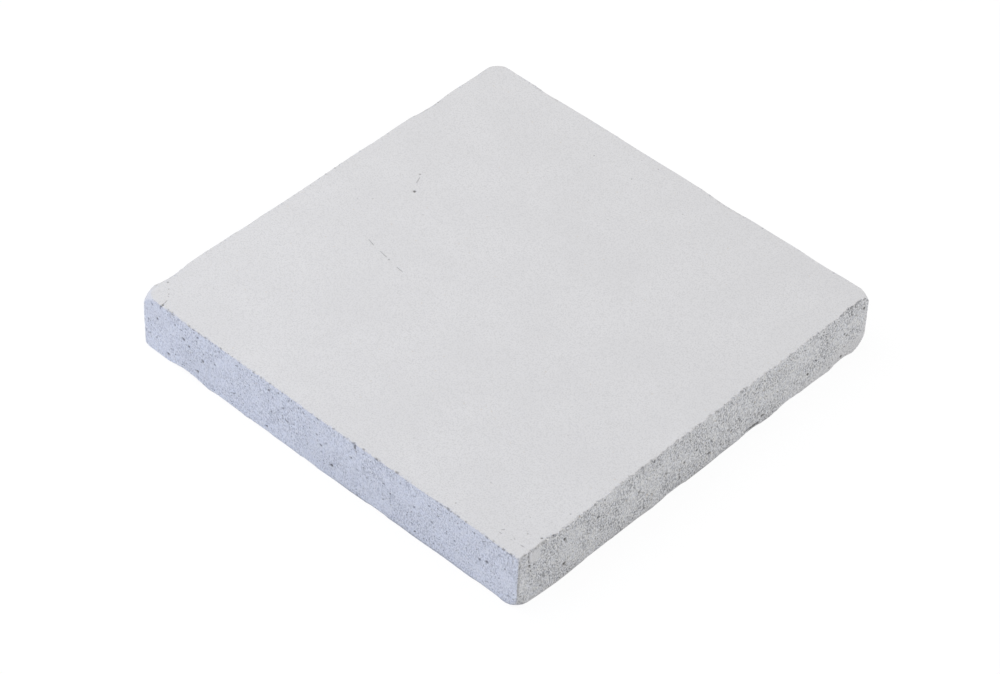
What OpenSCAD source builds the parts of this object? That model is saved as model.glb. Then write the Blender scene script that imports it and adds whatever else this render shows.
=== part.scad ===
// Square fire-resistant board, cast in one piece from a porous mineral mix.
// The two broad faces are flat. The four narrow sides stray a little from straight,
// shallow scallops have broken off along their edges, and the corners are worn.
// The origin is at the middle of the underside, +Z is up, and the sides run along X and Y.
// Millimetres.

/* [Board] */
// Length along X
board_length = 300; // [150:5:600]
// Width along Y
board_width = 300; // [150:5:600]
// Thickness along Z
board_thickness = 41; // [24:1:80]
// Radius of the four upright edges
upright_radius = 0.75; // [0.5:0.25:2]

/* [Wear] */
// How far the sides stray from straight, as a factor
side_waviness = 1; // [0:0.1:3]
// Size of the scallops along the lower edge, as a factor
lower_edge_wear = 1; // [0.5:0.1:2]
// Size of the scallops along the upper edge, as a factor
upper_edge_wear = 1; // [0.5:0.1:2]
// Length worn off each upper corner: front right, back right, back left, front left
upper_corner_wear = [3, 7, 7, 9]; // [3:0.5:10]
// Length worn off each lower corner, in the same order
lower_corner_wear = [8, 10, 6, 3]; // [3:0.5:10]

/* [Detail] */
// Distance between the points of a side's outline
side_step = 10; // [5:1:25]
// Length at each end of a side that has no scallop, and over which its waves fade in after it
corner_zone = 11; // [11:1:20]
// Facets in a full circle
$fn = 96; // [32:8:128]

/* [Hidden] */

// Sides and corners run counter-clockwise. Side 0 is the front, towards -Y, and
// corner i is where side i ends, so corner 0 is the front right one.
SIDES = [0, 1, 2, 3];
corner_steps = 6;

// A corner is worn to a ball whose middle lies this many wear lengths in from each face
ball_inset = 1.4;

// How far each corner lies outside its true place, across the side that ends there and
// across the next one, and the length over which this fades out along a side
corner_strays = [[-0.2, -1], [0.5, 0.4], [0, -0.8], [0, -0.3]];
corner_reach = 25;

// Each row below is [place, size, half length] in millimetres. The place is measured
// from where the side starts, and the rows come again after each pattern length.
pattern_length = 300;

// Slow waves of each side, outwards if the size is positive
side_waves = [
    [[42, 0.5, 18], [87, 0.4, 34], [141, 0.6, 20], [168, 0.3, 16], [210, -0.3, 14],
     [243, -0.5, 26], [270, -0.3, 20]],
    [[36, 0.6, 24], [66, 0.4, 16], [113, 0.6, 10], [142, 0.3, 14], [156, 0.5, 12],
     [219, 0.5, 22], [270, 0.6, 16]],
    [[17, 0.3, 14], [36, -0.4, 14], [57, 0.2, 16], [111, -0.5, 18], [145, 0.3, 26],
     [210, 0.2, 28], [250, -0.3, 22]],
    [[24, -0.8, 22], [56, -1, 26], [106, -0.4, 14], [180, -0.7, 62], [236, -0.4, 10],
     [272, -0.5, 22]]
];

// Scallops broken off the lower edge of each side, the size being how far they reach up it
lower_scallops = [
    [[37, 3.2, 17], [70, 1, 15], [98, 0.9, 12], [137, 1.1, 7], [192, 1, 9],
     [276, 0.8, 12]],
    [[66, 1.1, 14], [130, 1, 9], [197, 1.6, 9], [230, 1.7, 13], [279, 2.2, 10]],
    [[28, 1.9, 15], [68, 1.2, 19], [117, 2.4, 11], [158, 1, 18], [211, 1.7, 15],
     [266, 2.2, 18]],
    [[31, 1.6, 17], [79, 2.5, 10], [131, 1.1, 21], [186, 1.8, 13], [224, 0.9, 15],
     [269, 2, 16]]
];

// Scallops worn off the upper edge of each side, the size being how far they reach down it
upper_scallops = [
    [[25, 0.6, 11], [168, 0.5, 9], [243, 0.4, 9]],
    [[20, 1.8, 9], [105, 0.6, 8], [281, 1.2, 8]],
    [[108, 0.5, 12], [255, 0.5, 9]],
    [[60, 0.7, 11], [216, 0.5, 10], [277, 1.6, 12]]
];

// Length of side i, and its distance from the middle of the board
function side_length(i) = i % 2 == 0 ? board_length : board_width;
function side_offset(i) = side_length(i + 1) / 2;

// Direction along side i and its outward normal
function along(i) = [cos(90 * i), sin(90 * i)];
function outward(i) = [sin(90 * i), -cos(90 * i)];

// Point of side i at distance s from its start, moved outwards by d
function side_point(i, s, d = 0) =
    along(i) * (s - side_length(i) / 2) + outward(i) * (side_offset(i) + d);

// Rows repeated along a side of the given length
function repeated(rows, length) =
    [for (start = [0 : pattern_length : length], row = rows) [start + row[0], row[1], row[2]]];

// Those of the rows that keep clear of both ends of the side
function clear_of_ends(rows, length) =
    [for (row = repeated(rows, length))
        if (row[0] - row[2] >= corner_zone && row[0] + row[2] <= length - corner_zone) row];

// A smooth hump, 1 in the middle and 0 from one half length on
function hump(t) = abs(t) < 1 ? (1 + cos(180 * t)) / 2 : 0;

function total(values) = len(values) == 0 ? 0 : values * [for (v = values) 1];

// How far side i strays outwards at its start and at its end
function start_stray(i) = side_waviness * corner_strays[(i + 3) % 4][1];
function end_stray(i) = side_waviness * corner_strays[i % 4][0];

// How far side i strays outwards at distance s from its start
function stray(i, s) =
    let (to_corner = min(s, side_length(i) - s),
         fade = max(0, min(1, to_corner / corner_zone - 1)),
         rows = repeated(side_waves[i], side_length(i)),
         waves = total([for (row = rows) row[1] * hump((s - row[0]) / row[2])]))
    start_stray(i) * hump(s / corner_reach)
    + end_stray(i) * hump((side_length(i) - s) / corner_reach)
    + side_waviness * fade * waves;

// Distances from the start of side i at which its two corners lie
function first_corner(i) = -end_stray(i + 3);
function last_corner(i) = side_length(i) + start_stray(i + 1);

// Points of side i between its two corners
function side_points(i) =
    let (first = first_corner(i) + upright_radius,
         straight = last_corner(i) - upright_radius - first,
         steps = ceil(straight / side_step))
    [for (k = [0 : steps])
        let (s = first + straight * k / steps) side_point(i, s, stray(i, s))];

// Points of corner i between the ends of its two sides
function corner_points(i) =
    let (centre = side_point(i, last_corner(i) - upright_radius, end_stray(i) - upright_radius))
    [for (k = [1 : corner_steps - 1])
        let (a = 90 * k / corner_steps)
        centre + upright_radius * (outward(i) * cos(a) + along(i) * sin(a))];

function outline() = [for (i = SIDES) each concat(side_points(i), corner_points(i))];

// Moves children to side i at distance s from its start, moved outwards by d, with X along
// the side and Y outwards
module on_side(i, s, d) {
    translate(side_point(i, s, d)) rotate(90 * i) mirror([0, 1, 0]) children();
}

// Ball that takes a scallop off a square edge along X, whose solid is towards -Y and +Z.
// It cuts the same height off both faces, and its surface meets the edge at both ends.
module scallop_ball(height, half_length) {
    reach = (half_length * half_length - height * height) / (2 * height);
    translate([0, reach, -reach]) sphere(r = norm([half_length, reach, reach]));
}

// Scallops along the edge of the underside, given in rows as above
module edge_scallops(rows, factor) {
    for (i = SIDES, row = clear_of_ends(rows[i], side_length(i)))
        on_side(i, row[0], stray(i, row[0])) scallop_ball(factor * row[1], row[2]);
}

// What wears off one corner of the underside, whose solid is towards -X, -Y and +Z
module corner_chip(wear) {
    inset = ball_inset * wear;
    difference() {
        translate([-inset, -inset, -inset]) cube(2 * inset);
        translate([-inset, -inset, inset]) sphere(r = norm([inset - wear, inset, inset]));
    }
}

module corner_chips(wears) {
    for (i = SIDES)
        on_side(i, last_corner(i), end_stray(i)) corner_chip(wears[i]);
}

// Turns what is made for the underside over to the upper face
module upper_face() {
    translate([0, 0, board_thickness]) mirror([0, 0, 1]) children();
}

module board() {
    color([0.85, 0.85, 0.855])
    difference() {
        linear_extrude(height = board_thickness) polygon(outline());
        edge_scallops(lower_scallops, lower_edge_wear);
        corner_chips(lower_corner_wear);
        upper_face() edge_scallops(upper_scallops, upper_edge_wear);
        upper_face() corner_chips(upper_corner_wear);
    }
}

board();
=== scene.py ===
"""Square fire-resistant board of cast mineral, lying flat on a studio floor.

The board is one piece. Its outline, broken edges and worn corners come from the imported
solid, and this script adds the finish: a smooth cast face with pinholes and hairline
cracks, granular sides with pores, crumbled edges, and the colours of a pale mineral.
"""

import logging
import math
import random
from collections.abc import Iterator
from dataclasses import dataclass, field
from enum import Enum

import bmesh
import bpy
from mathutils import Matrix, Vector, noise
from mathutils.bvhtree import BVHTree
from mathutils.kdtree import KDTree


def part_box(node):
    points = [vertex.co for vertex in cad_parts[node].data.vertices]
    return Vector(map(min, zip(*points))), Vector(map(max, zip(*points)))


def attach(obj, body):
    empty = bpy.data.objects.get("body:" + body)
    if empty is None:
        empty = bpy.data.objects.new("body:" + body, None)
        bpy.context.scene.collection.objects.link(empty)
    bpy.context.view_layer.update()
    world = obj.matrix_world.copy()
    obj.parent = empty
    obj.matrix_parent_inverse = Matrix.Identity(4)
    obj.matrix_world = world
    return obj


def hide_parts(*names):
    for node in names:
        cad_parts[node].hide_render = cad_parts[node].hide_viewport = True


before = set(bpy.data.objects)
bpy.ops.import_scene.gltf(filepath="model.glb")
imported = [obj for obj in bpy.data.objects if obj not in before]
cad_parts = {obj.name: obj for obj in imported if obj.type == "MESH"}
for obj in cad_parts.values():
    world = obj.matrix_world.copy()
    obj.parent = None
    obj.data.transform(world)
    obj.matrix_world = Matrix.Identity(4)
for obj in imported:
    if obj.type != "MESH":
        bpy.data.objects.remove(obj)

MM = 0.001
Pair = tuple[float, float]
Colour = tuple[float, float, float, float]
BMesh = bmesh.types.BMesh
Tree = bpy.types.NodeTree
Node = bpy.types.Node
Socket = bpy.types.NodeSocket
log = logging.getLogger("board")


class Side(Enum):
    """The four narrow sides, counter-clockwise, with the number that the mesh carries."""

    FRONT = 0
    RIGHT = 1
    BACK = 2
    LEFT = 3

    @property
    def along(self) -> Vector:
        """Direction in which the side runs."""
        return Vector(((1, 0, 0), (0, 1, 0), (-1, 0, 0), (0, -1, 0))[self.value])

    @property
    def outward(self) -> Vector:
        """Direction in which the side faces."""
        return self.along.cross(Vector((0, 0, 1)))


class Broad(Enum):
    """The two broad faces, with the number that the mesh carries."""

    FACE = 4
    UNDERSIDE = 5


def linear(colour: str) -> Colour:
    """Turns an sRGB hex colour into linear numbers.

    Args:
        colour: Six hex digits, with or without a hash in front.

    Returns:
        Red, green, blue and an alpha of 1.
    """
    digits = colour.lstrip("#")
    parts = [int(digits[i : i + 2], 16) / 255 for i in (0, 2, 4)]
    bent = [c / 12.92 if c <= 0.04045 else ((c + 0.055) / 1.055) ** 2.4 for c in parts]
    return (*bent, 1.0)


def smooth_step(low: float, high: float, value: float) -> float:
    """Rises smoothly from 0 at low to 1 at high."""
    way = min(1.0, max(0.0, (value - low) / (high - low)))
    return way * way * (3 - 2 * way)


def lumps(size_mm: float) -> float:
    """Scale of a pattern whose lumps are this many millimetres across."""
    return 1 / (size_mm * MM)


def rumpled(place: Vector, *lots: Pair) -> float:
    """Adds up lots of smooth bumps, each with its height and its width in millimetres."""
    return sum(height * noise.noise(place / (width * MM)) for height, width in lots)


def add_node(
    tree: Tree, kind: str, inputs: dict[str | int, object] | None = None, **settings: object
) -> Node:
    """Adds a node with its settings, and fills its inputs.

    Args:
        tree: Node tree that takes the node.
        kind: Name of the node's type, without ShaderNode in front.
        inputs: For each input's name or number, a value, an output socket to link, or a
            node whose first output in use is linked.
        **settings: The node's own properties.

    Returns:
        The new node.
    """
    node = tree.nodes.new("ShaderNode" + kind)
    for name, value in settings.items():
        setattr(node, name, value)
    for key, value in (inputs or {}).items():
        if isinstance(key, int):
            socket = node.inputs[key]
        else:
            socket = next(s for s in node.inputs if s.enabled and s.name == key)
        if isinstance(value, Node):
            value = next(s for s in value.outputs if s.enabled)
        if isinstance(value, Socket):
            tree.links.new(value, socket)
        else:
            socket.default_value = value
    return node


def clear_tree(owner: bpy.types.Material | bpy.types.World) -> Tree:
    """Turns on a material's or world's nodes and empties its node tree.

    Args:
        owner: The material or world.

    Returns:
        Its node tree, with no node in it.
    """
    owner.use_nodes = True
    owner.node_tree.nodes.clear()
    return owner.node_tree


def shown(mesh: BMesh, name: str, material: bpy.types.Material) -> bpy.types.Object:
    """Turns a finished mesh into an object of the scene, with one material.

    Args:
        mesh: The mesh, which is freed.
        name: The object's name.
        material: Its material.

    Returns:
        The object.
    """
    data = bpy.data.meshes.new(name)
    mesh.to_mesh(data)
    mesh.free()
    data.materials.append(material)
    thing = bpy.data.objects.new(name, data)
    bpy.context.scene.collection.objects.link(thing)
    return thing


@dataclass(frozen=True)
class Pit:
    """A small pit in the blank: a pore, a nick or a stretch of crack, in metres."""

    start: Vector
    end: Vector
    radius: float
    depth: float
    # How dark the painted shade in it is, from 0 to 1.
    shade: float

    @property
    def middle(self) -> Vector:
        """The hollow's middle."""
        return (self.start + self.end) / 2

    @property
    def reach(self) -> float:
        """Distance from its middle within which the pit lies."""
        return self.radius + (self.end - self.start).length / 2

    def share(self, place: Vector) -> float:
        """How deep the pit is at a place, as a share of its depth.

        Args:
            place: The place.

        Returns:
            1 on its middle line, and 0 outside it.
        """
        line = self.end - self.start
        way = 0.0
        if line.length_squared:
            way = min(1.0, max(0.0, (place - self.start).dot(line) / line.length_squared))
        gap = (place - self.start - line * way).length / self.radius
        return max(0.0, 1 - gap * gap)


@dataclass(frozen=True)
class Stretch:
    """A stretch of a side's upper edge that is broken into nicks, in millimetres.

    Places along a side are measured from its middle.
    """

    start: float
    end: float
    nicks: int
    size: float


@dataclass(frozen=True)
class Patch:
    """A soft-edged patch of a side that differs from the rest, in millimetres.

    Attributes:
        run: Its middle's place along the side.
        height: Its middle's height above the underside.
        half_length: Half its length along the side.
        half_height: Half its height.
        closed: How much of the cast skin is whole there, from 0 to 1.
        patch_shade: How much painted shade darkens it, from 0 to 1.
        full: Share of it, from its middle, that is as closed and as darkened as that.
    """

    run: float
    height: float
    half_length: float
    half_height: float
    closed: float = 0.0
    patch_shade: float = 0.0
    full: float = 0.4

    def share(self, run: float, height: float) -> float:
        """How much of the patch there is at a place of the side.

        Args:
            run: Place along the side.
            height: Height above the underside.

        Returns:
            0 outside the patch, and 1 in its middle.
        """
        across = abs(run - self.run) / self.half_length
        upwards = abs(height - self.height) / self.half_height
        across, upwards = (1 - smooth_step(self.full, 1.0, far) for far in (across, upwards))
        return across * upwards


@dataclass(frozen=True)
class Crack:
    """A crack or torn gap in a side: place and height of both ends, half width and darkness of its
    painted shade.
    """

    run: float
    height: float
    to_run: float
    to_height: float
    radius: float
    shade: float


@dataclass(frozen=True)
class SideFinish:
    """How one narrow side looks, in millimetres.

    Attributes:
        side: Which side it is.
        openness: How open the grain is, from 0 for a closed skin to 1.
        crumble: Depth crumbled off the upper edge.
        edge_shade: How dark the nicks in the upper edge are, from 0 to 1.
        pores: Number of small pores anywhere on the side.
        pore_places: Places along and height of each large pore, and its radius.
        nick_places: Place along and size of each large nick in the upper edge.
        broken: Stretches of the upper edge with more nicks.
        cracks: Cracks and torn gaps.
        patches: Patches that are closed, and patches darkened by painted shade.
    """

    side: Side
    openness: float
    crumble: float
    edge_shade: float
    pores: int
    pore_places: tuple[tuple[float, float, float], ...] = ()
    nick_places: tuple[tuple[float, float], ...] = ()
    broken: tuple[Stretch, ...] = ()
    cracks: tuple[Crack, ...] = ()
    patches: tuple[Patch, ...] = ()

    def pore_shade(self, radius: float) -> float:
        """How dark a placed pore of this radius is: the wider, the darker."""
        return min(0.95, 0.6 + 0.3 * radius)


SIDE_FINISHES = (
    SideFinish(
        Side.FRONT,
        openness=0.6,
        crumble=0.6,
        edge_shade=0.6,
        pores=60,
        pore_places=(
            (-142.5, 37, 0.7), (-138.5, 28, 1.0), (-130, 5.5, 0.9), (-116, 27, 1.1),
            (-111, 24.5, 1.0), (-104.5, 9, 1.1), (-100, 20, 0.9), (-90, 24, 0.8),
            (-71, 36.5, 0.8), (-61, 28, 0.6), (-47.5, 4.5, 0.9), (-45, 35, 0.9),
            (-33.5, 28.5, 0.6), (-34.5, 22, 0.6), (-17, 36.5, 0.9), (-3, 21, 0.8),
            (-2.5, 16, 0.7), (5.5, 10.5, 1.1), (21, 28, 0.9), (46.5, 25.5, 0.7),
            (51.5, 21, 0.8), (58.5, 17.5, 0.6), (68.5, 10, 0.7), (71, 5, 0.7),
            (70, 24, 0.8), (81, 33, 0.6), (83.5, 21.5, 0.6), (115.5, 37, 0.6),
            (122.5, 35.5, 0.6), (120, 19.5, 0.9), (125.5, 21.5, 1.0),
        ),
        nick_places=(
            (-134.5, 0.9), (-129.5, 0.8), (-125, 0.7), (-111, 0.8), (-107.5, 0.6), (-102.5, 0.7),
            (-97.5, 0.8), (-85, 0.7), (-80, 0.6), (-68.5, 0.8), (-57.5, 0.8), (-51.5, 0.7),
            (-44.5, 0.7), (-19.5, 0.6), (-6, 0.9), (7, 0.6), (15.5, 0.6), (23, 1.0),
            (30.5, 0.7), (40, 0.9), (42.5, 0.8), (55.5, 1.0), (63.5, 0.6), (87, 0.7),
            (89.5, 0.9), (94.5, 1.0), (97.5, 0.7), (102.5, 0.8), (108.5, 0.7), (124, 0.8),
            (129.5, 0.9), (134, 0.8), (138, 0.8), (140.5, 0.7), (143.5, 0.9), (146, 0.7),
        ),
        broken=(
            Stretch(-145, 124, nicks=27, size=0.45),
            Stretch(124, 147, nicks=9, size=0.5),
        ),
        cracks=(
            Crack(23.2, 40.7, 24.4, 40.2, radius=0.8, shade=0.7),
            Crack(23.7, 39.2, 23.8, 37.2, radius=0.8, shade=0.75),
            Crack(23.8, 37, 25.5, 33, radius=0.4, shade=0.2),
            Crack(-135, 41, -135.5, 38, radius=0.5, shade=0.4),
            Crack(-145.9, 23.4, -146.2, 22, radius=0.5, shade=0.45),
            Crack(-148.4, 12.8, -148.7, 11.4, radius=0.5, shade=0.45),
            Crack(-145.2, 12.8, -145.4, 11.8, radius=0.5, shade=0.4),
        ),
        patches=(
            Patch(-146, 36, 26, 20, closed=0.48),
            # Painted shade: a shadow along the lower edge in the thin patches, and a darker lower
            # part of the side in the broad ones.
            Patch(-102, 12, 26, 14, patch_shade=0.05),
            Patch(28, 4, 75, 26, patch_shade=0.06),
            Patch(-50, 0, 60, 1.8, patch_shade=0.16),
            Patch(75, 0, 105, 1.8, patch_shade=0.52),
        ),
    ),
    SideFinish(
        Side.RIGHT,
        openness=1.0,
        crumble=0.9,
        edge_shade=0.35,
        pores=110,
        pore_places=(
            (-141, 29.5, 0.9), (-137.5, 28.5, 0.6), (-113.5, 31, 1.1), (-113, 11, 1.2),
            (-86, 28, 1.0), (-83, 15.5, 0.8), (-70, 21, 0.8), (-51, 22, 1.1),
            (-28, 20, 0.8), (-12.5, 17.5, 1.0), (-8, 32, 0.7), (-2, 20.5, 0.7),
            (9.5, 9.5, 1.1), (10.5, 18.5, 0.7), (21, 8, 0.7), (35.5, 19, 0.8),
            (57.5, 6, 1.1), (74.5, 14, 0.7), (88, 12.5, 0.7), (98, 11, 1.0),
            (104.5, 18, 0.7), (104, 13, 0.7), (130, 22, 0.8), (132.5, 19.5, 0.8),
            (131, 11, 0.8), (129, 4.5, 1.1), (146.5, 32, 1.0), (149, 37.5, 0.7),
        ),
        nick_places=(
            (-147, 0.9), (-144.5, 0.8), (-142, 1.0), (-140, 0.9), (-137.5, 1.1), (-134, 0.8),
            (-131, 1.0), (-128.5, 0.7), (-123.5, 0.9), (-112, 0.7), (-103, 0.7), (-89.5, 0.9),
            (-66, 0.8), (-55, 0.7), (-50, 0.9), (-42, 0.9), (-34, 0.8), (-28, 0.7),
            (-16.5, 0.8), (-7, 0.9), (8.5, 0.9), (12.5, 0.9), (30, 0.9), (35, 0.9),
            (38, 0.9), (46, 0.8), (63.5, 0.7), (78.5, 0.8), (94.5, 0.7), (96.5, 0.9),
            (107.5, 0.9), (125.5, 0.8), (131.5, 0.8), (134, 1.0), (137.8, 1.0), (141.5, 1.1),
        ),
        broken=(
            Stretch(-148, -100, nicks=14, size=0.6),
            Stretch(-100, 128, nicks=36, size=0.5),
            Stretch(128, 146, nicks=5, size=0.6),
        ),
        cracks=(
            # A torn gap along the lower edge, cut in a little; its darkness is painted shade of the
            # broken face turned to the floor.
            Crack(42, 3.3, 47.5, 3.0, radius=0.65, shade=0.75),
            Crack(47.5, 3.0, 53.5, 2.4, radius=1.0, shade=1.0),
            Crack(134, 38.5, 134.5, 34, radius=0.5, shade=0.25),
            Crack(-142, 40, -141.6, 32, radius=0.45, shade=0.4),
        ),
        patches=(
            # Paler lower right end: the skin is whole there, and the paler skin also stands in for
            # light falling on that end, a painted pool of light.
            Patch(139, 3, 32, 14, closed=0.62),
            Patch(106, 1, 32, 8, closed=0.45),
            Patch(-136.8, 34.5, 5.2, 4.8, closed=0.9),
            # Painted shade: a shadow along the lower edge, a dark line beside the upright edge at
            # the near corner, and shade at its foot.
            Patch(-30, 0, 115, 1.8, patch_shade=0.24),
            Patch(-149.5, 24, 1.6, 22, patch_shade=0.4),
            Patch(-148, 2, 7, 7, patch_shade=0.2),
        ),
    ),
    *(
        SideFinish(
            side,
            openness=0.85,
            crumble=0.05,
            edge_shade=0.45,
            pores=70,
            broken=(Stretch(-145, 145, nicks=6, size=0.4),),
        )
        for side in (Side.BACK, Side.LEFT)
    ),
)


@dataclass(frozen=True)
class CastFace:
    """Marks in the cast face, in millimetres from its middle.

    Attributes:
        hairlines: Points of each hairline crack.
        pinholes: Place and radius of each clear pinhole.
        fine_pinholes: Number of fainter pinholes anywhere on the face.
        fine_radius, fine_depth, fine_shade: Size and darkness of each of these.
        spread: How far from the middle they lie, as a share of the board's length.
        hairline_radius, hairline_shade: Half width and darkness of a hairline.
        rim: How far out a clear pinhole's rounded rim is, as a share of its radius.
    """

    hairlines: tuple[tuple[tuple[float, float], ...], ...] = (
        ((-90, -24), (-84.5, -25.5)),
        ((-78, -26.5), (-72, -27.5)),
        ((-61.5, -29.5), (-56.5, -30)),
        ((-107.5, 37), (-105.5, 32.5)),
        ((-135.5, -144.5), (-134.5, -149.5)),
        ((142.3, -141), (145.3, -140.8)),
        ((127, -142.3), (128.6, -142.3)),
        ((126.7, -139.9), (127.8, -138.7)),
    )
    pinholes: tuple[tuple[float, float, float], ...] = (
        (-134.4, -149, 0.6), (-129.4, -149.5, 0.5), (-126, -149.3, 0.42), (-112, -149.4, 0.35),
        (-109.5, 39.5, 0.5), (-101, 26, 0.8), (-69.5, -28, 0.45), (-146.5, -133.5, 0.5),
        (-141.9, -136.9, 0.4), (-138.7, -140, 0.4), (-137.2, -141.7, 0.35), (95, -143.5, 0.4),
        (147, -129, 0.6), (139, -132, 0.4), (131.5, -122, 0.35), (136.5, -140, 0.35),
        (98, -118, 0.35), (145.5, -104.5, 0.4), (-47, 127, 0.4), (-46, 113, 0.35),
        (-11, 145.5, 0.4), (-16.5, 127, 0.4), (-23.5, 144.5, 0.35), (-2, 89.5, 0.35),
        (26.5, 125, 0.35), (-120.5, -3, 0.35), (-114, 3.5, 0.35), (-83, 14.5, 0.35),
        (142.5, -116.5, 0.3), (135.5, -142, 0.3), (125, -135.5, 0.3),
    )
    fine_pinholes: int = 24
    fine_radius: float = 0.35
    fine_depth: float = 0.25
    fine_shade: float = 0.35
    spread: float = 0.48
    hairline_radius: float = 0.3
    hairline_shade: float = 0.4
    rim: float = 1.35

    def pinhole_shade(self, radius: float) -> float:
        """How dark a clear pinhole of this radius is: the wider, the darker."""
        return min(0.9, 2.0 * radius - 0.4)


@dataclass(frozen=True)
class Scatter:
    """Ranges that scattered marks are drawn from: millimetres, or shares of a size.

    Only a nick's depth isn't drawn. It is always the same share of its half width.
    """

    pore_run: Pair = (-0.985, 0.985)
    pore_height: Pair = (0.04, 0.96)
    pore_radius_mm: Pair = (0.4, 0.7)
    pore_shade: Pair = (0.35, 0.85)
    pore_reach: Pair = (0.1, 0.5)
    pore_depth: Pair = (0.8, 1.2)
    nick_size: Pair = (0.6, 1.3)
    nick_shade: Pair = (0.3, 1.0)
    nick_drop_mm: Pair = (0.0, 0.7)
    nick_inset_mm: Pair = (0.0, 0.6)
    nick_run: Pair = (-1.6, 1.6)
    nick_fall: Pair = (0.0, 0.9)
    nick_depth: float = 0.4


@dataclass(frozen=True)
class Wear:
    """How the edges and the open sides are worn, in millimetres.

    Attributes:
        rubbed: Depth rubbed off every edge.
        rubbed_reach: How far from an edge it is rubbed.
        crumbled: Least depth crumbled off an upper edge.
        crumbled_reach: How far from an edge it crumbles.
        crumbs: Strength and width of each size of crumb.
        crumb_start: Strength at which crumbs start to break off.
        farthest: Distance from an edge past which nothing is worn.
        grain: Height and width of each size of lump in the open sides.
        grain_fade: Height above the underside at which the grain is whole.
        corner: Distances from the sides at which a rubbed corner is whole and ends.
        corner_rise: Shares of the thickness at which it begins and is whole.
        skin_ragged: Width and depth of the bites in the edge of the skin.
        skin_back: How far back from the edge the skin starts.
        skin_level: How level the solid is where the skin begins and is whole.
        corner_level: How much less level that is on a rubbed corner.
        opening: Depths cut in at which the skin begins to open and is open.
        missing: Distances down to the solid at which crumbling begins to end and ends.
        shade_level: How level the solid is where the patches' painted shade begins to end and ends.
        slant: How far from square a broken edge is where pocks begin and are whole.
        pocks: Darkness and width of the pocks, spots of painted shade on broken edges.
        between_pocks: Painted shade between them.
    """

    rubbed: float = 0.22
    rubbed_reach: float = 0.9
    crumbled: float = 0.04
    crumbled_reach: float = 0.8
    crumbs: tuple[Pair, ...] = ((2.5, 1.9), (1.5, 1.1))
    crumb_start: float = 0.2
    farthest: float = 4.0
    grain: tuple[Pair, ...] = ((0.1, 12), (0.16, 4.3), (0.22, 2.3))
    grain_fade: float = 3.0
    corner: Pair = (7.0, 11.0)
    corner_rise: Pair = (0.5, 0.6)
    skin_ragged: Pair = (1.7, 2.4)
    skin_back: float = 0.7
    skin_level: Pair = (0.9, 0.99)
    corner_level: Pair = (0.6, 0.4)
    opening: Pair = (0.2, 0.5)
    missing: Pair = (0.3, 1.0)
    shade_level: Pair = (0.5, 0.9)
    slant: Pair = (0.04, 0.2)
    pocks: Pair = (0.5, 2.6)
    between_pocks: float = 0.1


@dataclass(frozen=True)
class Tinge:
    """Soft spots of another colour.

    Attributes:
        colour: Their colour.
        size_mm: How far across they are.
        span: Levels of the noise at which they begin and are whole.
        detail: How many finer sizes are mixed in.
        roughness: How strong the finer sizes are.
        fade: How they fade at their edges.
    """

    colour: str
    size_mm: float
    span: Pair
    detail: float
    roughness: float = 0.5
    fade: str = "SMOOTHSTEP"


@dataclass(frozen=True)
class Specks:
    """Round specks.

    Attributes:
        spacing_mm: Distance between the places where a speck may lie.
        radius: A speck's radius, as a share of that distance.
        share: Share of the places that have a speck.
        core: Share of a speck's radius within which it is whole.
        strength: How much of its colour shows, from 0 to 1.
    """

    spacing_mm: float
    radius: float
    share: float
    core: float = 0.4
    strength: float = 1.0


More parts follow.
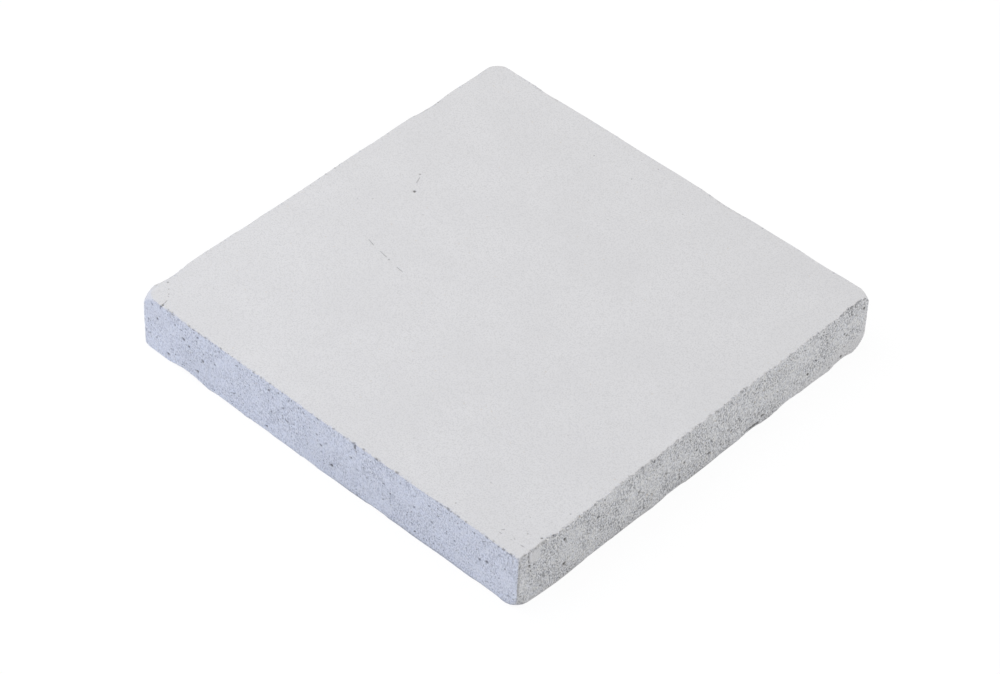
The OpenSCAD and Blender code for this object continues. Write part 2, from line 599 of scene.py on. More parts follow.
@dataclass(frozen=True)
class CastMineral:
    """Porous mineral mix, cast in a smooth mould and broken or sawn on its sides.

    The mould leaves a closed, matt, almost white skin, with faint clouds and a fine
    speckle of lighter and darker fines. On the sides the grains and pores stand open, so
    they are rough, and painted shade in the gaps and small pores makes them a little darker.

    Attributes:
        skin, side: Colours of the skin and of the grains in the sides.
        clouds, fines, tints: Soft spots in the skin, and in the sides.
        tan, skin_tan, side_tan: Colour of the tan flecks, and how they lie in each.
        painted_shade: Colour of the painted shade in pits, cracks and pocks, and along shaded
            edges.
        pepper_shade: Painted shade in the tiny pores.
        grain_mm, grain_squeeze: Size of the grains, and how far it is squeezed each way.
        gap: Colour of the painted shade between the grains.
        gap_shade_span: Heights of grain at which that colour is whole and ends.
        patch_mm: How far across the coarser patches of the sides are.
        patch_span: Levels of the noise at which they begin and are whole.
        finest: How coarse the sides are between these patches, where 1 is coarsest.
        open_span: How open the side is where the painted shade of the tiny pores begins and is
            whole.
        relief_mm: Depth of the fine relief.
        relief_span, roughness_span: Strength of relief and roughness, on skin and sides.
    """

    skin: str = "#DEDDDD"
    clouds: Tinge = Tinge("#DBDADA", 42.0, (0.35, 0.65), detail=3.0, roughness=0.6)
    # The real fines are 0.1 to 0.3 mm across, too fine to show, so they are drawn coarser.
    fines: Tinge = Tinge("#D0CFCF", 0.75, (0.42, 0.72), detail=1.0)
    side: str = "#EEEDEB"
    tints: Tinge = Tinge("#EAEBEE", 3.0, (0.35, 0.65), detail=2.0, fade="LINEAR")
    tan: str = "#C9BCA8"
    skin_tan: Specks = Specks(5.0, radius=0.14, share=0.15, strength=0.35)
    side_tan: Specks = Specks(5.0, radius=0.16, share=0.06, strength=0.6)
    # Colour that the painted shade in pits and pocks, and along shaded edges, darkens towards.
    painted_shade: str = "#65635F"
    # Tiny pores, darkened with painted shade.
    pepper_shade: Specks = Specks(1.9, radius=0.28, share=0.34)
    # Real grains are 0.3 to 1.5 mm across. The larger ones, which show, set the pattern.
    grain_mm: float = 1.05
    grain_squeeze: tuple[float, float, float] = (1.2, 1.2, 0.75)
    # Painted shade between the grains.
    gap: str = "#9C9CA0"
    gap_shade_span: Pair = (0.35, 0.59)
    patch_mm: float = 17.0
    patch_span: Pair = (0.36, 0.58)
    finest: float = 0.62
    open_span: Pair = (0.2, 0.5)
    relief_mm: float = 0.9
    relief_span: Pair = (0.02, 1.0)
    roughness_span: Pair = (0.7, 0.95)

    def material(self) -> bpy.types.Material:
        """Builds the material.

        Returns:
            The material, which reads the mesh's rough attribute and its attribute of painted shade.
        """
        mat = bpy.data.materials.new("cast_porous_mineral")
        tree = clear_tree(mat)
        place = add_node(tree, "TexCoord").outputs["Object"]
        rough = add_node(tree, "Attribute", attribute_name="rough").outputs["Fac"]
        painted_shade = add_node(tree, "Attribute", attribute_name="painted_shade").outputs["Fac"]
        upright = add_node(tree, "Mapping", {"Vector": place, "Scale": self.grain_squeeze})
        grains = add_node(
            tree,
            "TexNoise",
            {"Vector": upright, "Scale": lumps(self.grain_mm), "Detail": 2.0, "Roughness": 0.6},
        )
        patches = add_node(
            tree, "TexNoise", {"Vector": place, "Scale": lumps(self.patch_mm), "Detail": 1.0}
        )
        start, whole = self.patch_span
        coarse = add_node(
            tree,
            "MapRange",
            {"Value": patches, "From Min": start, "From Max": whole, "To Min": self.finest},
            interpolation_type="SMOOTHSTEP",
        )
        skin = self.tinged(tree, place, linear(self.skin), self.clouds)
        skin = self.tinged(tree, place, skin, self.fines)
        skin = self.flecked(tree, place, skin, self.skin_tan)
        side = self.tinged(tree, place, linear(self.side), self.tints)
        side = self.shade_gaps(tree, side, grains, coarse)
        side = self.flecked(tree, place, side, self.side_tan)
        base = add_node(tree, "Mix", {"Factor": rough, "A": skin, "B": side}, data_type="RGBA")
        start, whole = self.open_span
        opened = add_node(tree, "MapRange", {"Value": rough, "From Min": start, "From Max": whole})
        # Painted shade: the tiny pores, and the pits, pocks and edges that the mesh marks, darken
        # towards one colour.
        pepper_shade = self.speckled(tree, place, self.pepper_shade)
        gritty = add_node(tree, "Math", {0: opened, 1: coarse}, operation="MULTIPLY")
        pepper_shade = add_node(tree, "Math", {0: pepper_shade, 1: gritty}, operation="MULTIPLY")
        shaded = add_node(tree, "Math", {0: pepper_shade, 1: painted_shade}, operation="MAXIMUM")
        dark = add_node(
            tree, "Mix", {"Factor": shaded, "A": base, "B": linear(self.painted_shade)}, data_type="RGBA"
        )
        matt, strength = (
            add_node(tree, "MapRange", {"Value": rough, "To Min": low, "To Max": high})
            for low, high in (self.roughness_span, self.relief_span)
        )
        bump = add_node(
            tree, "Bump", {"Height": grains, "Strength": strength, "Distance": self.relief_mm * MM}
        )
        shader = add_node(
            tree,
            "BsdfPrincipled",
            {
                "Base Color": dark,
                "Roughness": matt,
                "IOR": 1.5,
                "Specular IOR Level": 0.35,
                "Normal": bump,
            },
        )
        add_node(tree, "OutputMaterial", {"Surface": shader})
        return mat

    def tinged(self, tree: Tree, place: Socket, base: Colour | Node, tinge: Tinge) -> Node:
        """Puts soft spots of another colour on a colour.

        Args:
            tree: The material's node tree.
            place: Place on the board.
            base: The colour, or a node that gives it.
            tinge: The spots.

        Returns:
            A node that gives the new colour.
        """
        spots = add_node(
            tree,
            "TexNoise",
            {
                "Vector": place,
                "Scale": lumps(tinge.size_mm),
                "Detail": tinge.detail,
                "Roughness": tinge.roughness,
            },
        )
        start, whole = tinge.span
        spotted = add_node(
            tree,
            "MapRange",
            {"Value": spots, "From Min": start, "From Max": whole},
            interpolation_type=tinge.fade,
        )
        return add_node(
            tree, "Mix", {"Factor": spotted, "A": base, "B": linear(tinge.colour)}, data_type="RGBA"
        )

    def flecked(self, tree: Tree, place: Socket, base: Node, flecks: Specks) -> Node:
        """Puts a few tan flecks on a colour.

        Args:
            tree: The material's node tree.
            place: Place on the board.
            base: A node that gives the colour.
            flecks: The flecks.

        Returns:
            A node that gives the new colour.
        """
        tan = self.speckled(tree, place, flecks)
        faint = add_node(tree, "Math", {0: tan, 1: flecks.strength}, operation="MULTIPLY")
        return add_node(
            tree, "Mix", {"Factor": faint, "A": base, "B": linear(self.tan)}, data_type="RGBA"
        )

    def shade_gaps(self, tree: Tree, base: Node, grains: Node, coarse: Node) -> Node:
        """Paints shade into the gaps between the grains, most where the side is coarse.

        Args:
            tree: The material's node tree.
            base: A node that gives the grains' colour.
            grains: The grains' height.
            coarse: How coarse the side is.

        Returns:
            A node that gives the new colour.
        """
        start, whole = self.gap_shade_span
        gaps = add_node(
            tree,
            "MapRange",
            {"Value": grains, "From Min": start, "From Max": whole, "To Min": 1.0, "To Max": 0.0},
        )
        gap_shade = add_node(tree, "Math", {0: gaps, 1: coarse}, operation="MULTIPLY")
        return add_node(
            tree, "Mix", {"Factor": gap_shade, "A": base, "B": linear(self.gap)}, data_type="RGBA"
        )

    def speckled(self, tree: Tree, place: Socket, specks: Specks) -> Node:
        """Scatters round specks.

        Args:
            tree: The material's node tree.
            place: Place on the board.
            specks: The specks.

        Returns:
            A node that gives 1 in a speck and 0 outside.
        """
        cells = add_node(tree, "TexVoronoi", {"Vector": place, "Scale": lumps(specks.spacing_mm)})
        near = add_node(
            tree,
            "MapRange",
            {
                "Value": cells.outputs["Distance"],
                "From Min": specks.radius * specks.core,
                "From Max": specks.radius,
                "To Min": 1.0,
                "To Max": 0.0,
            },
            interpolation_type="SMOOTHSTEP",
        )
        draw = add_node(tree, "SeparateColor", {"Color": cells.outputs["Color"]})
        kept = add_node(tree, "Math", {0: draw.outputs[0], 1: specks.share}, operation="LESS_THAN")
        return add_node(tree, "Math", {0: near, 1: kept}, operation="MULTIPLY")


@dataclass
class MineralBoard:
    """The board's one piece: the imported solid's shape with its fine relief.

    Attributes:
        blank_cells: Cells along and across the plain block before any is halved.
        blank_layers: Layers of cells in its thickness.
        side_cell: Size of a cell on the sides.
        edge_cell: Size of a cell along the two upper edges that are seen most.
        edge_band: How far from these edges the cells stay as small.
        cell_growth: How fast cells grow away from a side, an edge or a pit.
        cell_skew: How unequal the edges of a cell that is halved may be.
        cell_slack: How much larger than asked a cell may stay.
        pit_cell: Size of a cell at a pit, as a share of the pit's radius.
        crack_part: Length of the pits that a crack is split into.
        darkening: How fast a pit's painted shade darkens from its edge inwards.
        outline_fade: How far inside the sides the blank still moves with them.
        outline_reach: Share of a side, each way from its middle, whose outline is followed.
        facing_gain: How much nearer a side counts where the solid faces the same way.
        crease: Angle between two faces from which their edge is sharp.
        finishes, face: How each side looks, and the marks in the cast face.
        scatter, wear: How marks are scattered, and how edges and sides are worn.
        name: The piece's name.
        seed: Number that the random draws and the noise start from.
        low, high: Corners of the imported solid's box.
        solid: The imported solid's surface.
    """

    blank_cells: int = 38
    blank_layers: int = 5
    side_cell: float = 1.0 * MM
    edge_cell: float = 0.5 * MM
    edge_band: float = 1.4 * MM
    cell_growth: float = 0.6
    cell_skew: float = 1.2
    cell_slack: float = 1.25
    pit_cell: float = 0.7
    crack_part: float = 2 * MM
    darkening: float = 1.35
    outline_fade: float = 15 * MM
    outline_reach: float = 0.49
    facing_gain: float = 3 * MM
    crease: float = math.radians(50)
    finishes: tuple[SideFinish, ...] = SIDE_FINISHES
    face: CastFace = CastFace()
    scatter: Scatter = Scatter()
    wear: Wear = Wear()
    name: str = "mineral_board"
    seed: int = 7
    low: Vector = field(init=False)
    high: Vector = field(init=False)
    solid: BVHTree = field(init=False)

    def __post_init__(self) -> None:
        """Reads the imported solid's box and surface."""
        self.low, self.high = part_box("board")
        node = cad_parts["board"]
        self.solid = BVHTree.FromPolygons(
            [v.co for v in node.data.vertices], [p.vertices for p in node.data.polygons]
        )

    @property
    def size(self) -> Vector:
        """The board's length, width and thickness."""
        return self.high - self.low

    @property
    def centre(self) -> Vector:
        """The middle of the board's box."""
        return (self.high + self.low) / 2

    def build(self) -> bpy.types.Object:
        """Models the piece and dresses it.

        Returns:
            The finished object, riding on the board's body.
        """
        noise.seed_set(self.seed)
        pits = self.pits()
        mesh = bmesh.new()
        self.cut_blank(mesh)
        self.refine(mesh, pits)
        self.unwrap(mesh)
        self.measure_hollows(mesh, pits)
        self.follow_outline(mesh)
        self.fit_solid(mesh)
        self.carve(mesh)
        return self.finished(mesh)

    def cut_blank(self, mesh: BMesh) -> None:
        """Makes the plain block and cuts it into even cells.

        Args:
            mesh: Empty mesh that takes the block.
        """
        bmesh.ops.create_cube(mesh, size=1.0)
        bmesh.ops.scale(mesh, vec=self.size, verts=mesh.verts)
        bmesh.ops.translate(mesh, vec=self.centre, verts=mesh.verts)
        region = mesh.faces.layers.int.new("region")
        for face in mesh.faces:
            face[region] = self.region_of(face.normal)
        for axis, cells in enumerate((self.blank_cells, self.blank_cells, self.blank_layers)):
            normal = Vector([float(axis == i) for i in range(3)])
            for k in range(1, cells):
                bmesh.ops.bisect_plane(
                    mesh,
                    geom=mesh.verts[:] + mesh.edges[:] + mesh.faces[:],
                    plane_co=self.low + normal * self.size[axis] * k / cells,
                    plane_no=normal,
                )

    def region_of(self, normal: Vector) -> int:
        """Number of the side or broad face that has this outward normal.

        Args:
            normal: The normal.

        Returns:
            The number.
        """
        if abs(normal.z) > 0.5:
            return Broad.FACE.value if normal.z > 0 else Broad.UNDERSIDE.value
        return max(Side, key=lambda side: side.outward.dot(normal)).value

    def inward(self, place: Vector, side: Side) -> float:
        """How far inside the blank's given side a place is."""
        return abs(side.outward.dot(self.size)) / 2 - side.outward.dot(place - self.centre)

    def side_point(self, side: Side, run: float, height: float) -> Vector:
        """Point of the blank's side.

        Args:
            side: The side.
            run: Distance along it from its middle.
            height: Height above the underside.

        Returns:
            The point.
        """
        point = self.centre + side.along * run
        point += side.outward * abs(side.outward.dot(self.size)) / 2
        point.z = self.low.z + height
        return point

    def pits(self) -> list[Pit]:
        """Lists every pore, nick, pinhole and stretch of crack.

        Returns:
            The pits, in the order in which they are drawn.
        """
        draw = random.Random(self.seed)
        found = list(self.face_pits(draw))
        for finish in self.finishes:
            found += self.side_pits(finish, draw)
            found += self.edge_pits(finish, draw)
        return found

    def face_pits(self, draw: random.Random) -> Iterator[Pit]:
        """Draws the pinholes and hairlines of the cast face.

        Args:
            draw: Source of random numbers.

        Yields:
            Each pinhole, and each stretch of a hairline.
        """
        face = self.face
        top = Vector((self.centre.x, self.centre.y, self.high.z))
        for x, y, radius in face.pinholes:
            place = top + Vector((x, y, 0)) * MM
            rim = face.rim * radius * MM
            yield Pit(place, place, rim, radius * MM, face.pinhole_shade(radius))
        far, depth, shade = face.spread, face.fine_depth * MM, face.fine_shade
        for _ in range(face.fine_pinholes):
            share = Vector((draw.uniform(-far, far), draw.uniform(-far, far), 0))
            place = top + share * self.size.x
            yield Pit(place, place, face.fine_radius * MM, depth, shade)
        for points in face.hairlines:
            line = [top + Vector((x, y, 0)) * MM for x, y in points]
            for start, end in zip(line, line[1:]):
                yield from self.crack(start, end, face.hairline_radius * MM, face.hairline_shade)

    def crack(self, start: Vector, end: Vector, radius: float, shade: float) -> Iterator[Pit]:
        """Splits a straight crack into short pits that overlap end to end.

        Args:
            start: Where it starts.
            end: Where it ends.
            radius: Half its width, and its depth.
            shade: How dark it is, from 0 to 1.

        Yields:
            Each short pit.
        """
        parts = max(1, round((end - start).length / self.crack_part))
        for k in range(parts):
            here, there = start.lerp(end, k / parts), start.lerp(end, (k + 1) / parts)
            yield Pit(here, there, radius, radius, shade)

    def side_pits(self, finish: SideFinish, draw: random.Random) -> Iterator[Pit]:
        """Draws the pores and cracks of one side.

        Args:
            finish: How the side looks.
            draw: Source of random numbers.

        Yields:
            Each pore, and each stretch of a crack.
        """
        side, scatter = finish.side, self.scatter
        for run, height, radius in finish.pore_places:
            at = self.side_point(side, run * MM, height * MM)
            yield self.pore(side, at, radius * MM, finish.pore_shade(radius), draw)
        half = abs(side.along.dot(self.size)) / 2
        for _ in range(finish.pores):
            run = draw.uniform(*scatter.pore_run) * half
            height = draw.uniform(*scatter.pore_height) * self.size.z
            radius = draw.uniform(*scatter.pore_radius_mm) * MM
            shade = draw.uniform(*scatter.pore_shade)
            at = self.side_point(side, run, height)
            yield self.pore(side, at, radius, shade, draw)
        for crack in finish.cracks:
            start = self.side_point(side, crack.run * MM, crack.height * MM)
            end = self.side_point(side, crack.to_run * MM, crack.to_height * MM)
            yield from self.crack(start, end, crack.radius * MM, crack.shade)

    def pore(
        self, side: Side, at: Vector, radius: float, shade: float, draw: random.Random
    ) -> Pit:
        """Makes one pore, a little longer one way than the other.

        Args:
            side: The side that it is in.
            at: Its middle.
            radius: Radius across the short way.
            shade: How dark it is, from 0 to 1.
            draw: Source of random numbers.

        Returns:
            The pore.
        """
        lean = side.along * draw.uniform(-1, 1) + Vector((0, 0, draw.uniform(-1, 1)))
        reach = lean * radius * draw.uniform(*self.scatter.pore_reach)
        depth = radius * draw.uniform(*self.scatter.pore_depth)
        return Pit(at - reach, at + reach, radius, depth, shade)

    def edge_pits(self, finish: SideFinish, draw: random.Random) -> Iterator[Pit]:
        """Draws the nicks of one side's upper edge.

        Args:
            finish: How the side looks.
            draw: Source of random numbers.

        Yields:
            Each nick.
        """
        for run, size in finish.nick_places:
            yield self.nick(finish.side, run * MM, size * MM, finish.edge_shade, draw)
        for stretch in finish.broken:
            for _ in range(stretch.nicks):
                run = draw.uniform(stretch.start, stretch.end) * MM
                size = stretch.size * draw.uniform(*self.scatter.nick_size) * MM
                shade = finish.edge_shade * draw.uniform(*self.scatter.nick_shade)
                yield self.nick(finish.side, run, size, shade, draw)

    def nick(
        self, side: Side, run: float, size: float, shade: float, draw: random.Random
    ) -> Pit:
        """Makes one nick, running along or down the side from near the edge.

        Args:
            side: The side whose upper edge it is in.
            run: Distance along the side from its middle.
            size: Its half width.
            shade: How dark it is, from 0 to 1.
            draw: Source of random numbers.

        Returns:
            The nick.
        """
        scatter = self.scatter
        at = self.side_point(side, run, self.size.z - draw.uniform(*scatter.nick_drop_mm) * MM)
        at -= side.outward * draw.uniform(*scatter.nick_inset_mm) * MM
        lean = side.along * draw.uniform(*scatter.nick_run)
        lean -= Vector((0, 0, draw.uniform(*scatter.nick_fall)))
        return Pit(at, at + lean * size, size, size * scatter.nick_depth, shade)

    def pit_tree(self, pits: list[Pit]) -> KDTree:
        """A search tree of the pits' middles.

        Args:
            pits: Every pit.

        Returns:
            The tree, which knows each pit by its number in the list.
        """
        tree = KDTree(len(pits))
        for i, pit in enumerate(pits):
            tree.insert(pit.middle, i)
        tree.balance()
        return tree

    def refine(self, mesh: BMesh, pits: list[Pit]) -> None:
        """Halves the cells again and again, until each is as small as its place asks.

        Args:
            mesh: The board's mesh.
            pits: Every pit.
        """
        region = mesh.faces.layers.int["region"]
        tree = self.pit_tree(pits)
        while True:
            chosen = []
            for face in mesh.faces:
                if len(face.verts) != 4:
                    continue
                lengths = [edge.calc_length() for edge in face.edges]
                if max(lengths) > self.cell_skew * min(lengths):
                    continue
                wanted = self.cell_at(face.calc_center_median(), face[region], pits, tree)
                if max(lengths) > self.cell_slack * wanted:
                    chosen.append(face)
            log.info("%s: %d faces halved", self.name, len(chosen))
            if not chosen:
                break
            edges = dict.fromkeys(edge for face in chosen for edge in face.edges)
            bmesh.ops.subdivide_edges(mesh, edges=list(edges), cuts=1, use_grid_fill=True)

    def cell_at(self, place: Vector, region: int, pits: list[Pit], tree: KDTree) -> float:
        """Size that a cell of the mesh has at a place of the blank.

        Args:
            place: The place.
            region: Number of the side or broad face there.
            pits: Every pit.
            tree: Search tree of the pits.

        Returns:
            The size in metres.
        """
        inward = min(self.inward(place, side) for side in Side)
        wanted = self.side_cell
        if region >= Broad.FACE.value:
            wanted += self.cell_growth * inward
        for side in (Side.FRONT, Side.RIGHT):
            gap = math.hypot(self.inward(place, side), self.high.z - place.z) - self.edge_band
            wanted = min(wanted, self.edge_cell + self.cell_growth * max(0.0, gap))
        for _, i, gap in tree.find_n(place, 3):
            pit = pits[i]
            finest = min(self.edge_cell, max(self.edge_cell / 2, pit.radius * self.pit_cell))
            wanted = min(wanted, finest + self.cell_growth * max(0.0, gap - pit.reach))
        return wanted

    def unwrap(self, mesh: BMesh) -> None:
        """Lays the broad faces and the sides out flat on one map, while they are still flat.

        Args:
            mesh: The board's mesh.
        """
        region = mesh.faces.layers.int["region"]
        layer = mesh.loops.layers.uv.new("OFBake")
        for face in mesh.faces:
            for loop in face.loops:
                loop[layer].uv = self.map_place(face[region], loop.vert.co)

    def map_place(self, region: int, place: Vector) -> tuple[float, float]:
        """Place on the map of a point of the blank.

        Args:
            region: Number of the side or broad face.
            place: The point.

        Returns:
            The two map coordinates, each from 0 to 1.
        """
        gap = 0.008
        long = 0.79
        face_wide = 0.535
        underside_wide = 0.43
        tall = long * self.size.z / self.size.x
        share = [(place[i] - self.low[i]) / self.size[i] for i in range(3)]
        if region == Broad.FACE.value:
            return (gap + face_wide * share[0], 1 - gap - face_wide * (1 - share[1]))
        if region == Broad.UNDERSIDE.value:
            return (1 - gap - underside_wide * share[0], 1 - gap - underside_wide * (1 - share[1]))
        side = Side(region)
        run = 0.5 + side.along.dot(place - self.centre) / abs(side.along.dot(self.size))
        return (gap + long * run, gap + region * (tall + gap / 2) + tall * share[2])

    def measure_hollows(self, mesh: BMesh, pits: list[Pit]) -> None:
        """Notes how deep each vertex is to be cut in or crumbled, and how dark its painted shade is
        there.

        Args:
            mesh: The board's mesh.
            pits: Every pit.
        """
        cut = mesh.verts.layers.float.new("cut")
        crumb = mesh.verts.layers.float.new("crumb")
        painted_shade = mesh.verts.layers.float.new("painted_shade")
        tree = self.pit_tree(pits)
        farthest = max(pit.reach for pit in pits)
        for vert in mesh.verts:
            deep, dark = 0.0, 0.0
            for _, i, _ in tree.find_range(vert.co, farthest):
                share = pits[i].share(vert.co)
                deep += share * pits[i].depth / MM
                # Painted shade, darkest in a pit's middle.
                dark = max(dark, pits[i].shade * min(1.0, self.darkening * share))
            vert[cut] = deep
            vert[crumb] = self.crumb(vert.co)
            vert[painted_shade] = dark

    def crumb(self, place: Vector) -> float:
        """Depth worn or crumbled off the edges of the broad faces, in millimetres.

        Args:
            place: Place on the blank.

        Returns:
            The depth, which is 0 away from the edges.
        """
        above = (self.high.z - place.z) / MM
        below = (place.z - self.low.z) / MM
        depth, wear = 0.0, self.wear
        for finish in self.finishes:
            inward = self.inward(place, finish.side) / MM
            if inward > wear.farthest:
                continue
            low_gap = math.hypot(inward, below)
            depth = max(depth, wear.rubbed * math.exp(-((low_gap / wear.rubbed_reach) ** 2)))
            gap = math.hypot(inward, above)
            if gap > wear.farthest:
                continue
            crumbs = max(0.0, rumpled(place, *wear.crumbs) - wear.crumb_start)
            crumbled = wear.crumbled + finish.crumble * crumbs
            depth = max(depth, crumbled * math.exp(-((gap / wear.crumbled_reach) ** 2)))
        return depth

    def follow_outline(self, mesh: BMesh) -> None:
        """Moves the blank's sides in or out to the solid's outline, and its rim less and less.

        Args:
            mesh: The board's mesh.
        """
        known: dict[tuple[int, float], float] = {}
        for vert in mesh.verts:
            move = Vector()
            for side in Side:
                weight = 1 - smooth_step(0.0, self.outline_fade, self.inward(vert.co, side))
                if not weight:
                    continue
                run = side.along.dot(vert.co - self.centre)
                key = (side.value, round(run, 6))
                if key not in known:
                    known[key] = self.stray(side, run)
                move += side.outward * known[key] * weight
            vert.co += move

    def stray(self, side: Side, run: float) -> float:
        """How far outside the blank the solid's side is, at a place along it.

        Args:
            side: The side.
            run: Distance along it from its middle.

        Returns:
            The distance, below 0 where the solid's side is inside the blank.
        """
        limit = abs(side.along.dot(self.size)) * self.outline_reach
        outside = 10 * MM
        aim = self.side_point(side, max(-limit, min(limit, run)), self.size.z / 2)
        hit = self.solid.ray_cast(aim + side.outward * outside, -side.outward)[0]
        return side.outward.dot(hit - aim)

    def fit_solid(self, mesh: BMesh) -> None:
        """Puts every vertex on the solid's surface, marks the open, rough ones, and adds the
        painted shade of pocks and patches.

        Args:
            mesh: The board's mesh.
        """
        rough = mesh.verts.layers.float.new("rough")
        cut = mesh.verts.layers.float["cut"]
        crumb = mesh.verts.layers.float["crumb"]
        painted_shade = mesh.verts.layers.float["painted_shade"]
        wear = self.wear
        for vert in mesh.verts:
            place, normal, _, gone = self.solid.find_nearest(vert.co)
            vert.co = place
            vert[cut] += vert[crumb] * (1 - smooth_step(*wear.missing, gone / MM))
            corner = self.rubbed(place)
            pitted = smooth_step(*wear.opening, vert[cut])
            opened = max(1 - self.skin_at(place, corner), pitted)
            finish = self.finish_at(place, normal)
            closed, patch_shade = self.patched(finish, place)
            vert[rough] = finish.openness * opened * (1 - closed)
            # The patches' painted shade falls only on the upright sides.
            patch_shade *= 1 - smooth_step(*wear.shade_level, abs(normal.z))
            slant = 1 - max(abs(part) for part in normal)
            broken = (1 - corner) * smooth_step(*wear.slant, slant)
            # Painted shade in pocks on broken edges: spots of colour with no geometry under them.
            pock_shade = broken * max(0.0, wear.between_pocks + rumpled(place, wear.pocks))
            vert[painted_shade] = max(vert[painted_shade], pock_shade, patch_shade)
        mesh.verts.layers.float.remove(crumb)

    def patched(self, finish: SideFinish, place: Vector) -> tuple[float, float]:
        """How closed and how darkened by painted shade a side's patches make it at a place, each
        from 0 to 1.

        Args:
            finish: How the side looks.
            place: The place.

        Returns:
            The two shares.
        """
        run = finish.side.along.dot(place - self.centre) / MM
        height = (place.z - self.low.z) / MM
        shares = [(patch, patch.share(run, height)) for patch in finish.patches]
        closed = max((patch.closed * share for patch, share in shares), default=0.0)
        return closed, max((patch.patch_shade * share for patch, share in shares), default=0.0)

    def rubbed(self, place: Vector) -> float:
        """How far a place is on an upper corner, which is rubbed round rather than broken.

        Args:
            place: Place on the solid.

        Returns:
            1 on an upper corner, and 0 elsewhere.
        """
        from_sides = sorted(self.inward(place, side) for side in Side)
        near = 1 - smooth_step(*self.wear.corner, from_sides[1] / MM)
        rise = (place.z - self.low.z) / self.size.z
        return near * smooth_step(*self.wear.corner_rise, rise)

    def skin_at(self, place: Vector, corner: float) -> float:
        """How closed the skin is, from 0 to 1, with a ragged edge where it is broken off.

        Args:
            place: Place on the solid.
            corner: 1 on a corner that is rubbed round, where the skin reaches further down.

        Returns:
            1 on the broad faces and 0 on the sides.
        """
        wear = self.wear
        width, depth = wear.skin_ragged
        shift = noise.noise_vector(place / (width * MM)) * depth * MM
        shift += (self.centre - place).normalized() * wear.skin_back * MM
        level = abs(self.solid.find_nearest(place + shift)[1].z)
        begins, whole = (
            least - less * corner for least, less in zip(wear.skin_level, wear.corner_level)
        )
        return smooth_step(begins, whole, level)

    def finish_at(self, place: Vector, normal: Vector) -> SideFinish:
        """Finds the finish of the side that a place is on, or else of the nearest side.

        Args:
            place: Place on the solid.
            normal: The solid's normal there.

        Returns:
            The finish.
        """

        def distance(finish: SideFinish) -> float:
            """How far the side is, and less where the solid faces the same way."""
            alike = normal.dot(finish.side.outward)
            return self.inward(place, finish.side) - self.facing_gain * alike

        return min(self.finishes, key=distance)

    def carve(self, mesh: BMesh) -> None:
        """Gives the sides their grain, and cuts the hollows in.

        Args:
            mesh: The board's mesh.
        """
        rough = mesh.verts.layers.float["rough"]
        cut = mesh.verts.layers.float["cut"]
        mesh.normal_update()
        moves = []
        for vert in mesh.verts:
            height = -vert[cut]
            if vert[rough]:
                height += vert[rough] * self.grain(vert.co)
            if height:
                moves.append((vert, vert.normal * height * MM))
        for vert, move in moves:
            vert.co += move
        mesh.verts.layers.float.remove(cut)

    def grain(self, place: Vector) -> float:
        """Height of the sides' grain in millimetres, which fades out at the lower edge."""
        whole = smooth_step(0.0, self.wear.grain_fade, (place.z - self.low.z) / MM)
        return rumpled(place, *self.wear.grain) * whole

    def finished(self, mesh: BMesh) -> bpy.types.Object:
        """Turns the mesh into the shown piece, with its finish and its place in the frame.

        Args:
            mesh: The board's mesh, which is freed.

        Returns:
            The piece.
        """
        many_sided = [face for face in mesh.faces if len(face.verts) > 4]
        bmesh.ops.triangulate(mesh, faces=many_sided)
        for face in mesh.faces:
            face.smooth = True
        for edge in mesh.edges:
            edge.smooth = edge.calc_face_angle() < self.crease
        piece = shown(mesh, self.name, CastMineral().material())
        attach(piece, "root")
        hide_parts("board")
        triangles = sum(len(p.vertices) - 2 for p in piece.data.polygons)
        log.info("%s: %d triangles", self.name, triangles)
        return piece


def bearing(azimuth: float, elevation: float) -> Vector:
    """Unit vector from the board towards a place in the studio.

    Args:
        azimuth: Degrees round the board, 0 in front of it and 90 to its right.
        elevation: Degrees above the floor.

    Returns:
        The vector.
    """
    turn, rise = math.radians(azimuth), math.radians(elevation)
    across, towards = math.sin(turn) * math.cos(rise), math.cos(turn) * math.cos(rise)
    return Vector((across, -towards, math.sin(rise)))


@dataclass(frozen=True)
class Softbox:
    """A large soft lamp aimed at the board, and the two angles that it shines from."""

    name: str
    azimuth: float
    elevation: float
    distance: float
    size: float
    level: float
    colour: str = "#FFFFFF"

    def place(self) -> None:
        """Makes the lamp. A level of 1 shows a facing surface in its own colour."""
        lamp = bpy.data.lights.new(self.name, "AREA")
        lamp.shape = "SQUARE"
        lamp.size = self.size
        lamp.color = linear(self.colour)[:3]
        lamp.energy = self.level * (math.pi * self.distance) ** 2
        thing = bpy.data.objects.new(self.name, lamp)
        towards = bearing(self.azimuth, self.elevation)
        thing.location = towards * self.distance
        thing.rotation_mode = "QUATERNION"
        thing.rotation_quaternion = towards.to_track_quat("Z", "Y")
        bpy.context.scene.collection.objects.link(thing)
        log.info("%s placed", self.name)


@dataclass(frozen=True)
class Camera:
    """The studio camera: angles in degrees, distances in metres and lens in millimetres."""

    azimuth: float = 41.58
    elevation: float = 43.75
    roll: float = 2.43
    distance: float = 2.104
    lens: float = 131.55
    target: tuple[float, float] = (0.02218, -0.02985)

    def place(self, height: float) -> None:
        """Makes the camera, aimed at its target, and makes it the scene's.

        Args:
            height: Height of the target above the floor.
        """
        data = bpy.data.cameras.new("camera")
        data.lens = self.lens
        data.sensor_width = 36.0
        data.clip_start = 0.05
        data.clip_end = 50.0
        back = bearing(self.azimuth, self.elevation)
        level = Vector((0, 0, 1)).cross(back).normalized()
        turn = Matrix.Rotation(math.radians(self.roll), 3, back)
        right = turn @ level
        up = back.cross(right)
        pose = Matrix((right, up, back)).transposed().to_4x4()
        pose.translation = Vector((*self.target, height)) + back * self.distance
        camera = bpy.data.objects.new("camera", data)
        camera.matrix_world = pose
        bpy.context.scene.collection.objects.link(camera)
        bpy.context.scene.camera = camera
        log.info("camera placed")


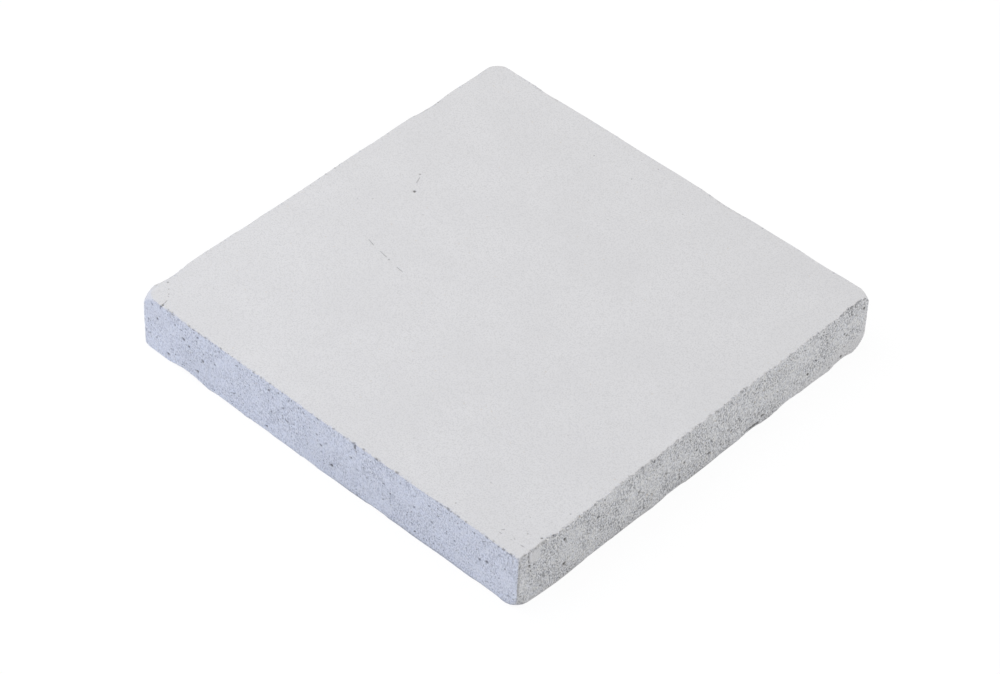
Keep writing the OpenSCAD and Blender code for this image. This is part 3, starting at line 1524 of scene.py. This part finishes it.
@dataclass(frozen=True)
class Studio:
    """Plain pale studio: a white floor, a white surround and soft lamps.

    Attributes:
        floor_size: Length of the floor's sides.
        floor_colour: Colour of its paper.
        floor_glow: Share of the floor's look that is its own glow.
        glow_level: Strength of that glow.
        surround: Strength of the surround's light on the board.
        lamps: The soft lamps.
    """

    floor_size: float = 30.0
    floor_colour: str = "#F0F0F0"
    floor_glow: float = 0.9
    glow_level: float = 1.03
    surround: float = 0.53
    lamps: tuple[Softbox, ...] = (
        Softbox("key_lamp", -56, 65, distance=1.3, size=1.15, level=0.485),
        Softbox("cool_fill", -14, 6, distance=1.5, size=0.9, level=0.345, colour="#7FACFF"),
        Softbox("side_fill", 140, 20, distance=1.7, size=0.94, level=0.256, colour="#F8FAFF"),
    )

    def build(self) -> None:
        """Makes the floor, the surround and the lamps, and sets the view."""
        self.lay_floor()
        self.light_surround()
        for lamp in self.lamps:
            lamp.place()
        bpy.context.scene.view_settings.view_transform = "Standard"

    def lay_floor(self) -> None:
        """Lays the floor that the board rests on."""
        mesh = bmesh.new()
        bmesh.ops.create_grid(mesh, x_segments=1, y_segments=1, size=self.floor_size / 2)
        floor = shown(mesh, "floor", self.floor_material())
        log.info("floor laid")

    def seen_directly(self, tree: Tree) -> Socket:
        """Tells what is seen directly from the light that falls on the board.

        Args:
            tree: The node tree.

        Returns:
            A socket that gives 1 for rays from the camera, a mirror or glass, and 0 for others.
        """
        path = add_node(tree, "LightPath")
        seen = path.outputs["Is Camera Ray"]
        for other in ("Is Glossy Ray", "Is Transmission Ray"):
            seen = add_node(
                tree, "Math", {0: seen, 1: path.outputs[other]}, operation="MAXIMUM"
            ).outputs[0]
        return seen

    def floor_material(self) -> bpy.types.Material:
        """Matt white paper that looks almost wholly white but keeps a faint shadow.

        Returns:
            The material.
        """
        mat = bpy.data.materials.new("matt_white_paper")
        tree = clear_tree(mat)
        paper = add_node(tree, "BsdfDiffuse", {"Color": linear(self.floor_colour)})
        glow = add_node(tree, "Emission", {"Strength": self.glow_level})
        share = add_node(
            tree, "Math", {0: self.seen_directly(tree), 1: self.floor_glow}, operation="MULTIPLY"
        )
        mixed = add_node(tree, "MixShader", {0: share, 1: paper, 2: glow})
        add_node(tree, "OutputMaterial", {"Surface": mixed})
        return mat

    def light_surround(self) -> None:
        """White surround: full white to the eye, and a soft even light on the board."""
        world = bpy.data.worlds.new("surround")
        bpy.context.scene.world = world
        tree = clear_tree(world)
        strength = add_node(
            tree,
            "MapRange",
            {"Value": self.seen_directly(tree), "To Min": self.surround, "To Max": 1.0},
        )
        light = add_node(tree, "Background", {"Color": linear("#FFFFFF"), "Strength": strength})
        add_node(tree, "OutputWorld", {"Surface": light})
        log.info("surround lit")


def main() -> None:
    """Builds the board and its studio."""
    logging.basicConfig(level=logging.INFO, format="%(message)s")
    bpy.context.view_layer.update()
    board = MineralBoard()
    Camera().place(height=board.high.z)
    Studio().build()
    board.build()


if __name__ == "__main__":
    main()
